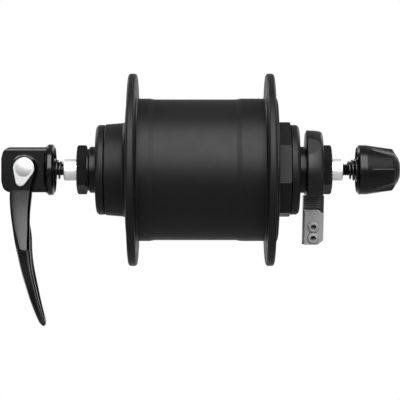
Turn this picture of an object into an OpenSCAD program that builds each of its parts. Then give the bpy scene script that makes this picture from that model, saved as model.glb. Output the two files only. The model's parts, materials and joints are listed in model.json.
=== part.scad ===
// Bicycle front hub with a claw-pole generator inside, a hollow axle and a quick-release skewer.
// X runs along the axle towards the connector side, -Y faces the viewer and Z is up.
// The origin lies on the axle's line, midway between the outer faces of the two locknuts.

/* [Axle and locknuts] */
// Distance between the outer faces of the two locknuts
over_locknut = 100; // [98:0.5:104]
// How far the axle's left end stands out of its locknut
left_overhang = 5.3; // [4.5:0.1:6.5]
// How far the axle's right end stands out of its locknut
right_overhang = 4.5; // [4:0.1:6]
// Diameter of the plain axle ends that sit in the fork
axle_end_d = 8.5; // [8:0.1:8.8]
// Diameter of the axle's threaded zones
axle_thread_d = 9; // [8.9:0.1:9.6]
// Diameter of the axle under the stator
axle_mid_d = 10.4; // [10:0.1:11]
// Diameter of the bore that the skewer passes through
axle_bore_d = 5.5; // [5.2:0.1:5.8]
// Diameter of the collar that the stator is clamped against
collar_d = 15; // [13:0.5:17]
// Thickness of that collar
collar_t = 2; // [1.5:0.1:3]
// Width of the axle's groove for the lead wire
groove_w = 1.4; // [1.2:0.1:1.8]
// Size of the locknuts across their flats
nut_flats = 16.9; // [16:0.1:18]
// Thickness of each locknut
nut_t = 3.9; // [3.5:0.1:4.5]
// Turn of the locknuts about the axle
nut_angle = 6.6; // [0:0.1:60]
// Bevel at the corners of the locknuts
nut_bevel = 0.7; // [0.4:0.1:1]
// Number of teeth on each locknut's outer face
tooth_count = 40; // [36:1:48]
// Depth of those teeth
tooth_depth = 0.4; // [0.3:0.05:0.45]
// Inner diameter of the toothed ring
tooth_in_d = 11.4; // [11:0.1:12]
// Thickness of the washer under the right locknut
washer_t = 0.8; // [0.5:0.1:1]
// Diameter of that washer
washer_d = 16; // [14:0.5:16.4]

/* [Hub shell] */
// Diameter of the spoke flanges
flange_d = 75.8; // [74:0.2:80]
// Thickness of the flanges at the rim
flange_t = 3.3; // [2.8:0.1:3.6]
// What the width over the locknuts exceeds the distance between the flanges' middle planes by
flange_inset = 46.2; // [45:0.1:47]
// Offset of the flanges from the hub's middle, towards the connector
flange_shift = -1.15; // [-1.6:0.05:-0.8]
// How far each flange's outer face leans out from rim to drum
flange_lean = 0.6; // [0.3:0.1:0.9]
// Rounding of the flanges' rims
rim_round = 1; // [0.6:0.1:1.3]
// Diameter of the drum's end bands
drum_d = 56.2; // [55.6:0.1:57.4]
// Depth of the drum's waist below its end bands
waist_cut = 0.35; // [0.2:0.05:0.6]
// Length of the left end band
left_band = 4.9; // [4:0.1:8]
// Length of the right end band
right_band = 9.7; // [8:0.1:13]
// Length of the slope between each end band and the waist
waist_slope = 2; // [1:0.1:3]
// Wall of the drum
shell_wall = 2.4; // [2.2:0.1:2.8]
// Diameter of the left boss at its end
boss_d = 35.8; // [35:0.1:37]
// Length of the left boss
boss_len = 8; // [7.6:0.1:9]
// Growth of the boss's radius towards the flange
boss_taper = 0.65; // [0.4:0.05:0.8]
// Number of spoke holes in each flange
spoke_holes = 18; // [16:2:18]
// Diameter of the spoke holes
spoke_hole_d = 2.6; // [2.4:0.1:2.8]
// Distance from a flange's rim to the middle of its spoke holes
spoke_edge = 3.7; // [3.4:0.1:4.2]
// Turn of the spoke holes about the axle
spoke_angle = 6; // [0:1:20]

/* [End cap] */
// Thickness of the end cap's outer disc
disc_t = 1.4; // [1.2:0.1:1.8]
// Size of the octagon across its corners
octagon_d = 38.7; // [38:0.1:39.5]
// Length of the octagon
octagon_len = 4.8; // [4.6:0.1:5.6]
// Turn of the octagon about the axle
octagon_angle = 15.4; // [0:0.1:45]
// Length of the threaded spigot inside the drum
spigot_len = 5; // [4.4:0.1:5.6]
// Wall of the threaded spigot
spigot_wall = 2.4; // [2:0.1:2.8]
// Diameter of the end cap's rubber ring in section
ring_d = 1.4; // [1.2:0.1:1.6]

/* [Bearings] */
// Diameter of the balls
ball_d = 4.76; // [4.6:0.02:4.9]
// Number of balls in each bearing
ball_count = 10; // [9:1:10]
// Diameter of the circle through the balls' centres
ball_circle_d = 21; // [20.8:0.1:21.4]
// Outer diameter of the bearing cups
cup_d = 28.2; // [27.8:0.1:28.6]
// Diameter of the cones' collars
cone_d = 18.3; // [18:0.1:18.6]
// Diameter of the dust caps
dust_cap_d = 35.4; // [34.8:0.1:36]
// Length of the dust caps outside the hub
dust_cap_len = 3.5; // [3:0.1:3.6]
// Rounding of the dust caps' outer edges
dust_cap_round = 1.5; // [1:0.1:1.8]
// Wall of the ball cages
cage_wall = 0.8; // [0.6:0.1:0.9]

/* [Generator] */
// Room between the stator and the end cap's spigot
end_room = 9.5; // [9:0.1:10]
// Number of fingers on each pole plate
claw_count = 14; // [12:1:15]
// Thickness of the pole plates
plate_t = 2.4; // [2:0.1:2.8]
// Thickness of the pole fingers
claw_t = 2.2; // [1.8:0.1:2.4]
// Share of the pitch that a finger fills
claw_fill = 0.36; // [0.3:0.01:0.4]
// Wall of the stator's steel core
core_wall = 2.8; // [2.4:0.1:3]
// Wall of the bobbin
bobbin_wall = 1; // [0.8:0.1:1.3]
// Thickness of the magnets
magnet_t = 3.6; // [3.2:0.1:3.8]
// Number of magnet arcs
magnet_count = 4; // [3:1:8]
// Thickness of the return ring
flux_t = 1.9; // [1.6:0.1:2.1]
// Thickness of the nut that clamps the stator
stator_nut_t = 3; // [2.5:0.1:3.5]
// Diameter of the lead wire
lead_d = 1; // [0.8:0.05:1.1]

/* [Connector] */
// Diameter of the terminal body
terminal_d = 31.4; // [31:0.1:32.4]
// Length of the terminal body up to its washer
terminal_len = 5.4; // [5.2:0.1:5.8]
// Depth of the terminal body's six flats
flat_depth = 0.55; // [0.3:0.05:0.8]
// Narrowing of the terminal body towards its outer end
terminal_fall = 0.75; // [0.5:0.05:0.9]
// Turn of those flats about the axle
flat_angle = 53; // [40:1:60]
// Height of the terminal's flat underside below the axle
underside = 10; // [9.6:0.1:10.4]
// Tilt of the plug away from the viewer
plug_tilt = 20; // [16:1:22]
// Offset of the plug from the terminal body's middle
plug_shift = 0.15; // [0.1:0.05:0.4]
// Width of the plug along the axle
plug_w = 8.1; // [7.6:0.1:8.2]
// Thickness of the plug
plug_t = 6.8; // [6.4:0.1:7.2]
// Distance of the grey cover's top from the axle
cover_top = 15.9; // [15.6:0.1:16.4]
// Length of the grey cover
cover_len = 14.6; // [14:0.1:15]
// Cut corners of the grey cover
cover_bevel = 2.1; // [1.5:0.1:2.3]
// Bevel along the top edge of the grey cover's face
edge_bevel = 0.9; // [0.6:0.1:1.1]
// Width of the slope along the grey cover's left edge
side_bevel_w = 0.6; // [0.4:0.1:0.8]
// Depth of that slope
side_bevel_t = 1.6; // [1.2:0.1:2]
// Thickness of the grey cover, in front of the black cap's back
cover_t = 4.2; // [4:0.1:4.4]
// How far the black cap's face lies behind the grey cover's face
cap_step = 1; // [0.7:0.1:1.2]
// Number of grip ribs on the black cap
rib_count = 5; // [4:1:5]
// Distance from rib to rib
rib_pitch = 1; // [0.9:0.05:1.05]
// Height of the grip ribs
rib_h = 0.35; // [0.25:0.05:0.5]
// Diameter of the wire holes
wire_hole_d = 2.3; // [2:0.1:2.5]
// Thickness of the floor under the wire holes
hole_floor = 0.4; // [0.3:0.1:0.6]
// Diameter of the collars round the wire holes
wire_collar_d = 4.5; // [4.2:0.1:4.6]
// Height of those collars
wire_collar_h = 1.4; // [1.1:0.1:1.6]
// Rounding of those collars
collar_round = 0.8; // [0.6:0.05:0.9]
// Distance between the wire holes
wire_pitch = 4.8; // [4.6:0.1:5]
// Distance from the cover's top to the first wire hole
wire_start = 6.7; // [6.4:0.1:6.9]
// Width of the terminal blades
blade_w = 1.4; // [1.2:0.1:1.6]
// Thickness of the terminal blades
blade_t = 0.6; // [0.5:0.1:0.8]
// Distance between the terminal blades
blade_pitch = 3; // [2.8:0.1:3.2]

/* [Skewer] */
// Diameter of the skewer rod
rod_d = 4.3; // [4.2:0.05:4.5]
// Diameter of the rod's thread
thread_d = 4.7; // [4.6:0.05:4.9]
// Pitch of the rod's thread
thread_pitch = 0.8; // [0.8:0.05:1]
// Length of the rod's thread
thread_len = 17; // [15:0.5:18]
// Gap for the fork between the left locknut and the cam housing
left_gap = 8.8; // [8:0.1:10]
// Gap for the fork between the right locknut and the skewer nut
right_gap = 10; // [9.4:0.1:10.5]
// Diameter of the spring wire
wire_d = 0.85; // [0.8:0.05:0.9]
// Mean diameter of the springs at the small end
spring_small_d = 5.8; // [5.6:0.1:6]
// Mean diameter of the springs at the large end
spring_large_d = 10.8; // [10.4:0.1:11]
// Length of the left spring
left_spring_len = 6.2; // [6:0.1:6.4]
// Length of the right spring
right_spring_len = 6; // [5.8:0.1:6.4]
// Number of turns in each spring
spring_turns = 4.5; // [4:0.5:4.5]

/* [Cam and lever] */
// Diameter of the cam housing's barrel
housing_d = 17.7; // [17.4:0.1:18.2]
// Diameter of the cam housing's flared base
base_d = 20.2; // [19.6:0.1:20.6]
// Length of the cam housing
housing_len = 20.6; // [20.4:0.1:21.2]
// Distance across the cam housing's side flats
housing_w = 13.2; // [12.8:0.1:13.6]
// Rounding of the cam housing's long edges
barrel_round = 1.3; // [1.2:0.1:2.4]
// Distance from the clamping face to the lever's pivot
pivot_in = 11.4; // [11.2:0.1:11.8]
// Length of the flare
flare_len = 3.9; // [3.7:0.1:4.2]
// Diameter of the cam's bearing journals
journal_d = 7; // [6.8:0.1:7.2]
// Diameter of the eccentric cam
cam_d = 5; // [4.8:0.1:5.2]
// Travel of the rod as the lever is thrown
cam_throw = 1.5; // [1.4:0.05:1.6]
// Diameter of the rod's slotted eye
eye_d = 8.4; // [8.2:0.1:8.6]
// Length of the rod's slotted eye
eye_len = 9; // [8.6:0.1:9.2]
// Diameter of the lever's boss
lever_boss_d = 10.4; // [10:0.1:11]
// How far the middle of the lever's boss lies above its pivot
boss_rise = 0.7; // [0.4:0.1:0.9]
// Offset of the lever's blade from its pivot, away from the hub
lever_set = 0.42; // [0.2:0.02:0.6]
// Narrowing of the lever's blade on each side, per mm of its neck
neck_taper = 0.122; // [0.1:0.002:0.13]
// Narrowing of the lever's blade on each side, per mm below its neck
lever_taper = 0.046; // [0.04:0.002:0.05]
// Thickness of the lever's arm
arm_t = 4; // [3.8:0.1:4.4]
// Length of the lever from its pivot to its tip
lever_len = 61.5; // [59:0.5:64]
// Width of the lever's paddle
paddle_w = 14; // [12:0.5:15]
// Bow of the lever along its length
lever_bow = 0.0044; // [0.0042:0.0001:0.0047]
// Slope of the lever at its pivot
lever_slope = 0.146; // [0.13:0.002:0.15]
// Radius of the lever cap's round end
cap_r = 4.2; // [3.8:0.1:4.4]
// Radius of the lever cap's narrow end
cap_tip_r = 1.75; // [1.4:0.05:1.9]
// Distance between the lever cap's two ends
cap_reach = 5.6; // [5:0.1:6]
// Turn of the lever cap about the pivot
cap_turn = 9.2; // [7:0.1:11]
// Thickness of the lever cap
cap_t = 0.5; // [0.4:0.1:0.8]
// Thickness of the clamp rings
clamp_t = 1.3; // [1.1:0.1:1.5]
// Inner diameter of the clamp rings
clamp_in_d = 13.6; // [13.4:0.1:14]
// Outer diameter of the clamp rings
clamp_out_d = 17.4; // [17:0.1:17.6]

/* [Skewer nut] */
// Diameter of the nut's collar
collar_nut_d = 19.5; // [19.2:0.1:20]
// Length of the nut's collar
collar_nut_len = 3.6; // [3.4:0.1:4]
// Diameter of the nut at its far shoulder
nut_tip_d = 16.4; // [16:0.1:16.8]
// Length of the nut from its face to that shoulder
nut_body_len = 14; // [13.6:0.1:14.6]
// Length of the nut's end cone
nut_end_len = 3; // [2.6:0.1:3.4]
// Depth of the nut's three hollow grips at the far shoulder
grip_cut = 0.9; // [0.6:0.05:1.1]
// Radius of the hollow grips
grip_r = 12; // [10:0.5:16]
// Width of the ribs between the grips
grip_rib_w = 1.5; // [1.3:0.1:1.7]
// Height of those ribs at the far shoulder
grip_rib_h = 0.7; // [0.4:0.05:0.8]
// Diameter of the threaded insert
insert_d = 9; // [8.6:0.1:9.4]
// Length of the threaded insert
insert_len = 7; // [6.5:0.1:7.4]

/* [Hidden] */
// Radial play of fixed seats, running fits, ball races and plain clearances
seat = 0.05;
slip = 0.1;
race_gap = 0.1;
clear = 0.3;
$fn = 96;
arc_step = 12;
margin = 1;

half = over_locknut / 2;
axle_r = axle_thread_d / 2;
bore_fit = axle_r + seat;
ball_r = ball_d / 2;
circle_r = ball_circle_d / 2;
race_r = ball_r + race_gap;
cup_r = cup_d / 2;
cone_r = cone_d / 2;
cup_back = 3.3;
cup_front = 3.6;
cap_spigot = 0.9;

flange_spacing = over_locknut - flange_inset;
spoke_circle_d = flange_d - 2 * spoke_edge;
left_flange = flange_shift - flange_spacing / 2;
right_flange = flange_shift + flange_spacing / 2;
rim_r = flange_d / 2;
drum_r = drum_d / 2;
waist_r = drum_r - waist_cut;
bore_r = drum_r - shell_wall;
left_face = left_flange - flange_t / 2;
right_face = right_flange + flange_t / 2;
left_web = left_face - 2 * flange_lean;
boss_end = left_web - boss_len;
boss_r = boss_d / 2;
shell_end = right_face + clear / 3;
disc_face = shell_end + disc_t;
octagon_end = disc_face + octagon_len;

left_ball_u = -boss_end - cap_spigot - slip - cup_front;
right_ball_u = octagon_end - cap_spigot - slip - cup_front;
left_seat = -left_ball_u + cup_back;
right_seat = right_ball_u - cup_back;
wall_hole_r = circle_r - race_r + 2;
cavity_left = left_seat + 3.6;
spigot_end = shell_end - spigot_len;

stator_left = cavity_left + 6.4;
stator_right = spigot_end - end_room;
stator_len = stator_right - stator_left;
flux_out_r = bore_r - seat;
flux_in_r = flux_out_r - flux_t;
magnet_out_r = flux_in_r - seat;
magnet_in_r = magnet_out_r - magnet_t;
claw_r = magnet_in_r - 0.5;
core_in_r = axle_mid_d / 2 + seat;
core_out_r = core_in_r + core_wall;
bobbin_in_r = core_out_r + seat;
bobbin_out_r = claw_r - claw_t - clear;
wind_in_r = bobbin_in_r + bobbin_wall + seat;
wind_out_r = bobbin_out_r - 0.6;
lead_r = wind_in_r + 0.7;
lead_turn = stator_right + stator_nut_t + 1;
lead_in_r = axle_r - lead_d / 2 - seat;
groove_start = lead_turn + 3.6;

terminal_right = half - nut_t - washer_t;
terminal_left = terminal_right - terminal_len;
terminal_front = terminal_right + washer_t + 0.3;
terminal_r = terminal_d / 2;
plug_x = (terminal_left + terminal_front) / 2 + plug_shift;
plug_half = plug_t / 2;
plug_drop = plug_t * tan(plug_tilt);
plug_foot = -plug_half * sin(plug_tilt) - (cover_top + slip / 2 + cover_len) * cos(plug_tilt);
underside_u = underside / cos(plug_tilt);
wire_hole_len = cover_t - hole_floor;
blade_x = (terminal_left + terminal_right) / 2;
groove_end = blade_x + groove_w;
blade_top = 7.6;
blade_end = cover_top - 0.8;

clamp_x = -half - left_gap;
pivot_x = clamp_x - pivot_in;
housing_end = clamp_x - housing_len;
housing_r = housing_d / 2;
side_y = housing_w / 2;
cam_r = cam_d / 2;
offset_r = cam_throw / 2;
journal_r = journal_d / 2;
eye_r = eye_d / 2;
eye_play = 0.22 * offset_r + 0.12;
eye_bore_r = eye_r + slip;
arm_far = -side_y - clear;
arm_near = arm_far - arm_t;
sweep_r = 16;
spring_pocket_r = spring_large_d / 2 + wire_d / 2 + 0.45;
left_pocket = 4;
right_pocket = 3;
nut_face = half + right_gap;
rod_end = nut_face + 9.8;
insert_start = nut_face + right_pocket + 0.6;
nut_shoulder = nut_face + nut_body_len;
nut_end = nut_shoulder + nut_end_len;

steel = [0.72, 0.72, 0.73];
satin = [0.14, 0.14, 0.15];
plastic = [0.08, 0.08, 0.09];
grey = [0.56, 0.57, 0.58];
rubber = [0.05, 0.05, 0.05];
copper = [0.72, 0.42, 0.2];

function unit(v) = v / norm(v);
function flat2(p) = [p[0], p[1]];

// Points of a rounding of radius r at corner p, between its neighbours a and b
function rounding(a, p, b, r) =
    let (
        u = unit(a - p),
        v = unit(b - p),
        half_angle = acos(u * v) / 2,
        centre = p + unit(u + v) * r / sin(half_angle),
        from = p + u * r / tan(half_angle) - centre,
        to = p + v * r / tan(half_angle) - centre,
        turn = 180 - 2 * half_angle,
        steps = max(2, ceil(turn / arc_step))
    )
    [for (i = [0:steps])
        centre + (from * sin(turn * (1 - i / steps)) + to * sin(turn * i / steps)) / sin(turn)];

// Outline whose corners are [radius, x, rounding]
function outline(c) =
    [for (i = [0:len(c) - 1])
        let (a = flat2(c[(i + len(c) - 1) % len(c)]), p = flat2(c[i]), b = flat2(c[(i + 1) % len(c)]))
        each c[i][2] > 0 ? rounding(a, p, b, c[i][2]) : [p]];

// Points on an arc about c
function arc(c, r, from, to) =
    let (steps = max(3, ceil(abs(to - from) / arc_step)))
    [for (i = [0:steps])
        let (a = from + (to - from) * i / steps)
        c + r * [cos(a), sin(a)]];

// Sweeps an outline of [radius, x] points about the axle
module turned() {
    rotate([0, 90, 0])
        rotate_extrude()
            children();
}

// Ring about the axle, from x0 to x1
module ring(r_in, r_out, x0, x1) {
    turned()
        translate([r_in, x0])
            square([r_out - r_in, x1 - x0]);
}

// Rod along the axle, from x0 to x1
module rod(r, x0, x1) {
    translate([x0, 0, 0])
        rotate([0, 90, 0])
            cylinder(r = r, h = x1 - x0);
}

// Places its children on the plug's arm, whose z runs along the arm and y towards the viewer
module on_arm() {
    translate([plug_x, 0, 0])
        rotate([180 + plug_tilt, 0, 0])
            children();
}

// Block centred on the plug's arm
module arm_block(w, t, from, to) {
    on_arm()
        translate([-w / 2, -t / 2, from])
            cube([w, t, to - from]);
}

module axle() {
    color(steel)
        difference() {
            turned()
                polygon(outline([
                    [axle_bore_d / 2, -half - left_overhang, 0],
                    [axle_end_d / 2, -half - left_overhang, 0.5],
                    [axle_end_d / 2, -half + slip, 0],
                    [axle_r, -half + slip, 0],
                    [axle_r, stator_left - collar_t - 3, 0],
                    [axle_mid_d / 2, stator_left - collar_t - 3, 0],
                    [axle_mid_d / 2, stator_left - collar_t, 0],
                    [collar_d / 2, stator_left - collar_t, 0],
                    [collar_d / 2, stator_left, 0],
                    [axle_mid_d / 2, stator_left, 0],
                    [axle_mid_d / 2, stator_right + stator_nut_t, 0],
                    [axle_r, stator_right + stator_nut_t, 0],
                    [axle_r, half - slip, 0],
                    [axle_end_d / 2, half - slip, 0],
                    [axle_end_d / 2, half + right_overhang, 0.5],
                    [axle_bore_d / 2, half + right_overhang, 0]
                ]));
            translate([groove_start, -groove_w / 2, -axle_r - margin])
                cube([groove_end - groove_start, groove_w, margin + lead_d + 2 * seat]);
        }
}

// Locknut whose toothed face points to +X at x = 0
module locknut() {
    corner_r = nut_flats / sqrt(3);
    difference() {
        intersection() {
            rotate([nut_angle, 0, 0])
                translate([-nut_t, 0, 0])
                    rotate([0, 90, 0])
                        cylinder(r = corner_r, h = nut_t, $fn = 6);
            turned()
                polygon(outline([
                    [0, -nut_t, 0],
                    [corner_r - nut_bevel, -nut_t, 0],
                    [corner_r, -nut_t + nut_bevel * 0.7, 0],
                    [corner_r, -nut_bevel * 0.7, 0],
                    [corner_r - nut_bevel, 0, 0],
                    [0, 0, 0]
                ]));
        }
        rod(bore_fit, -nut_t - margin, margin);
        for (i = [0:tooth_count - 1])
            rotate([i * 360 / tooth_count, 0, 0])
                translate([0, 0, tooth_in_d / 2])
                    rotate([0, 0, 45])
                        translate([-tooth_depth * 0.7, -tooth_depth * 0.7, 0])
                            cube([tooth_depth * 1.4, tooth_depth * 1.4, corner_r]);
    }
}

module left_locknut() {
    color(plastic)
        translate([-half, 0, 0])
            mirror([1, 0, 0])
                locknut();
}

module right_locknut() {
    color(plastic)
        translate([half, 0, 0])
            locknut();
}

// Cone whose race lies at u and whose collar ends at u_end, on the right-hand side
module cone(u, u_end, neck) {
    lift = asin((circle_r - cone_r) / race_r);
    turned()
        polygon(concat(
            [[bore_fit, u - 3.1], [circle_r - race_r, u - 3.1]],
            arc([circle_r, u], race_r, 180, 90 + lift),
            outline([
                [cone_r, u_end - 2 * neck, 0],
                [cone_r - 0.9, u_end - neck, 0],
                [cone_r - 0.9, u_end, 0],
                [bore_fit, u_end, 0]
            ])
        ));
}

module left_cone() {
    color(steel)
        mirror([1, 0, 0])
            cone(left_ball_u, half - nut_t, 0.6);
}

module right_cone() {
    color(steel)
        cone(right_ball_u, terminal_left, 0.2);
}

module right_lock_washer() {
    color(steel)
        ring(bore_fit, washer_d / 2, terminal_right, terminal_right + washer_t);
}

module stator_core() {
    color(steel)
        difference() {
            ring(core_in_r, core_out_r, stator_left + plate_t, stator_right - plate_t);
            lead_hole();
        }
}

// Pole plate with its fingers pointing to +X, with its outer face at x = 0
module claw_pole() {
    pitch = 360 / claw_count;
    ring(core_in_r, claw_r - 0.3, 0, plate_t);
    for (i = [0:claw_count - 1])
        rotate([i * pitch, 0, 0])
            rotate([0, 90, 0])
                rotate_extrude(angle = pitch * claw_fill)
                    translate([claw_r - claw_t, plate_t / 2])
                        square([claw_t, stator_len - plate_t * 1.5 - margin]);
}

module claw_pole_left() {
    color(steel)
        translate([stator_left, 0, 0])
            claw_pole();
}

module claw_pole_right() {
    color(steel)
        difference() {
            translate([stator_right, 0, 0])
                mirror([1, 0, 0])
                    rotate([180 / claw_count, 0, 0])
                        claw_pole();
            lead_hole();
        }
}

// Way of the lead wire through the bobbin and the right pole plate
module lead_hole() {
    translate([0, 0, -lead_r])
        rod(lead_d / 2 + clear, stator_right - plate_t - bobbin_wall - margin, stator_right + margin);
}

module bobbin() {
    color([0.85, 0.83, 0.75])
        difference() {
            turned()
                polygon([
                    [bobbin_in_r, stator_left + plate_t],
                    [bobbin_out_r, stator_left + plate_t],
                    [bobbin_out_r, stator_left + plate_t + bobbin_wall],
                    [bobbin_in_r + bobbin_wall, stator_left + plate_t + bobbin_wall],
                    [bobbin_in_r + bobbin_wall, stator_right - plate_t - bobbin_wall],
                    [bobbin_out_r, stator_right - plate_t - bobbin_wall],
                    [bobbin_out_r, stator_right - plate_t],
                    [bobbin_in_r, stator_right - plate_t]
                ]);
            lead_hole();
        }
}

module coil_winding() {
    color(copper)
        ring(wind_in_r, wind_out_r,
            stator_left + plate_t + bobbin_wall + seat,
            stator_right - plate_t - bobbin_wall - seat);
}

module stator_nut() {
    color(steel)
        difference() {
            translate([stator_right, 0, 0])
                rotate([0, 90, 0])
                    cylinder(r = lead_r - lead_d / 2 - clear, h = stator_nut_t, $fn = 6);
            rod(axle_mid_d / 2 + seat, stator_right - margin, stator_right + stator_nut_t + margin);
        }
}

// Round length of wire between two points
module wire(a, b, r) {
    run = b - a;
    translate(a)
        rotate([0, acos(run[2] / norm(run)), atan2(run[1], run[0])])
            cylinder(r = r, h = norm(run));
    translate(b)
        sphere(r = r);
}

module lead_wire() {
    r = lead_d / 2;
    color([0.6, 0.1, 0.08]) {
        wire([stator_right - plate_t - bobbin_wall + seat, 0, -lead_r], [lead_turn, 0, -lead_r], r);
        wire([lead_turn, 0, -lead_r], [groove_start + 2, 0, -lead_in_r], r);
        wire([groove_start + 2, 0, -lead_in_r], [blade_x, 0, -lead_in_r], r);
        wire([blade_x, 0, -lead_in_r], [blade_x, 0, -blade_top + 2 * r], r);
    }
}

module terminal_body() {
    color(plastic)
        difference() {
            turned()
                polygon(outline([
                    [bore_fit, terminal_left, 0],
                    [terminal_r, terminal_left, 0.5],
                    [terminal_r - terminal_fall * 0.2, (terminal_left + terminal_front) / 2, 10],
                    [terminal_r - terminal_fall, terminal_front, 1],
                    [washer_d / 2 + 2.2, terminal_front, 0],
                    [washer_d / 2 + 2.2, terminal_right, 0],
                    [bore_fit, terminal_right, 0]
                ]));
            for (i = [0:5])
                rotate([flat_angle + i * 60, 0, 0])
                    translate([terminal_left - margin, -terminal_r, terminal_r - flat_depth])
                        cube([terminal_d, terminal_d, terminal_r]);
            translate([terminal_left - margin, -terminal_d, -terminal_d - underside])
                cube([terminal_d, 2 * terminal_d, terminal_d]);
            wire([blade_x, 0, 0], [blade_x, 0, -blade_top + lead_d], lead_d / 2 + clear);
            blade_ways(slip);
        }
}

// The two blades, or their ways grown by some play
module blade_ways(play) {
    for (s = [-1, 1])
        translate([blade_x - plug_x + s * blade_pitch / 2, 0, 0])
            arm_block(blade_w + 2 * play, blade_t + 2 * play, blade_top, blade_end + play);
}

module terminal_blades() {
    color([0.78, 0.66, 0.36])
        blade_ways(0);
}

module connector_cap() {
    w = plug_w / 2;
    fill = cover_bevel - 2 * slip;
    color(plastic)
        difference() {
            union() {
                on_arm()
                    translate([-w, -plug_half, underside_u - plug_half])
                        cube([plug_w, plug_t - cap_step, cover_top - underside_u + plug_half]);
                plug_plate(plug_half - cover_t, plug_t - cover_t, 0.3, margin, plug_drop);
                on_arm()
                    translate([0, plug_half - cap_step, cover_top + slip / 2])
                        rotate([90, 0, 0])
                            linear_extrude(height = plug_t - cap_step)
                                polygon([[w - fill, -margin], [w, -margin], [w, fill * 0.85], [w - fill, 0]]);
                for (i = [0:rib_count - 1])
                    on_arm()
                        translate([-w + 0.2, plug_half - cap_step - rib_h, cover_top - 0.9 - i * rib_pitch])
                            rotate([0, 90, 0])
                                cylinder(r = rib_h * 1.6, h = plug_w - 1.6, $fn = 32);
            }
            translate([plug_x - plug_w, -plug_w * 2, -underside - slip])
                cube([plug_w * 2, plug_w * 4, underside]);
            translate([plug_x - plug_w, -plug_w * 2, plug_foot - plug_w])
                cube([plug_w * 2, plug_w * 5, plug_w]);
            blade_ways(2 * slip);
        }
}

// Plate in the plug's outline: its near face lies at v, its upper right corner is cut by b,
// its top reaches up by lift and its foot reaches down by drop
module plug_plate(v, t, b, lift, drop) {
    w = plug_w / 2;
    low = cover_bevel;
    corner = 0.3;
    cut_slope = 0.9;
    foot = cover_len + drop;
    on_arm()
        translate([0, v, cover_top + slip / 2])
            rotate([90, 0, 0])
                linear_extrude(height = t)
                    polygon([
                        [-w, corner - lift], [-w + corner, -lift], [w - b, -lift], [w, b * 0.85 - lift],
                        [w, cover_len - low * cut_slope], [w - low - drop / cut_slope, foot],
                        [-w + corner, foot], [-w, foot - corner]
                    ]);
}

module connector_cover() {
    slope = [side_bevel_w, side_bevel_t];
    edge = [-plug_w / 2, plug_half - side_bevel_t];
    color(grey)
        difference() {
            union() {
                plug_plate(plug_half, cover_t - slip / 2, cover_bevel, 0, 0);
                at_wire_holes()
                    rotate_extrude()
                        polygon(outline([
                            [0, -margin, 0],
                            [wire_collar_d / 2, -margin, 0],
                            [wire_collar_d / 2, wire_collar_h, collar_round],
                            [0, wire_collar_h, 0]
                        ]));
            }
            on_arm()
                translate([0, plug_half, cover_top + slip / 2])
                    rotate([45, 0, 0])
                        cube([plug_w * 2, edge_bevel * sqrt(2), edge_bevel * sqrt(2)], center = true);
            on_arm()
                translate([0, 0, cover_top - margin])
                    linear_extrude(height = cover_len + 2 * margin)
                        polygon([edge - slope, edge + 2 * slope, edge + [-2, 4]]);
            at_wire_holes()
                translate([0, 0, -wire_hole_len])
                    cylinder(d = wire_hole_d, h = wire_hole_len + wire_collar_h + margin);
        }
}

// Places its children on the cover's face at the two wire holes, with z towards the viewer
module at_wire_holes() {
    for (i = [0:1])
        on_arm()
            translate([0, plug_half, cover_top + wire_start + i * wire_pitch])
                rotate([-90, 0, 0])
                    children();
}

module hub_shell() {
    color(satin)
        difference() {
            turned()
                polygon(outline([
                    [cup_r + seat, boss_end, 0],
                    [boss_r, boss_end, 0.4],
                    [boss_r + boss_taper, left_web, 1.4],
                    [drum_r - 2.2, left_face - 1.5 * flange_lean, 0],
                    [drum_r, left_face - flange_lean, 0],
                    [rim_r, left_face, rim_round],
                    [rim_r, left_face + flange_t, rim_round],
                    [drum_r, left_face + flange_t, 0.8],
                    [drum_r, left_face + flange_t + left_band, 0],
                    [waist_r, left_face + flange_t + left_band + waist_slope, 0],
                    [waist_r, right_face - flange_t - right_band - waist_slope, 0],
                    [drum_r, right_face - flange_t - right_band, 0],
                    [drum_r, right_face - flange_t, 0.8],
                    [rim_r, right_face - flange_t, rim_round],
                    [rim_r, right_face, rim_round],
                    [drum_r + 0.4, shell_end, 0],
                    [bore_r, shell_end, 0],
                    [bore_r, cavity_left, 1],
                    [wall_hole_r, cavity_left, 0],
                    [wall_hole_r, left_seat + seat, 0],
                    [cup_r + seat, left_seat + seat, 0]
                ]));
            spoke_holes(left_face, spoke_angle);
            spoke_holes(right_face - flange_t, spoke_angle + 180 / spoke_holes);
        }
}

// Ring of spoke holes through the flange that starts at x
module spoke_holes(x, angle) {
    for (i = [0:spoke_holes - 1])
        rotate([angle + i * 360 / spoke_holes, 0, 0])
            translate([0, 0, spoke_circle_d / 2])
                rod(spoke_hole_d / 2, x - margin, x + flange_t + margin);
}

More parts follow.
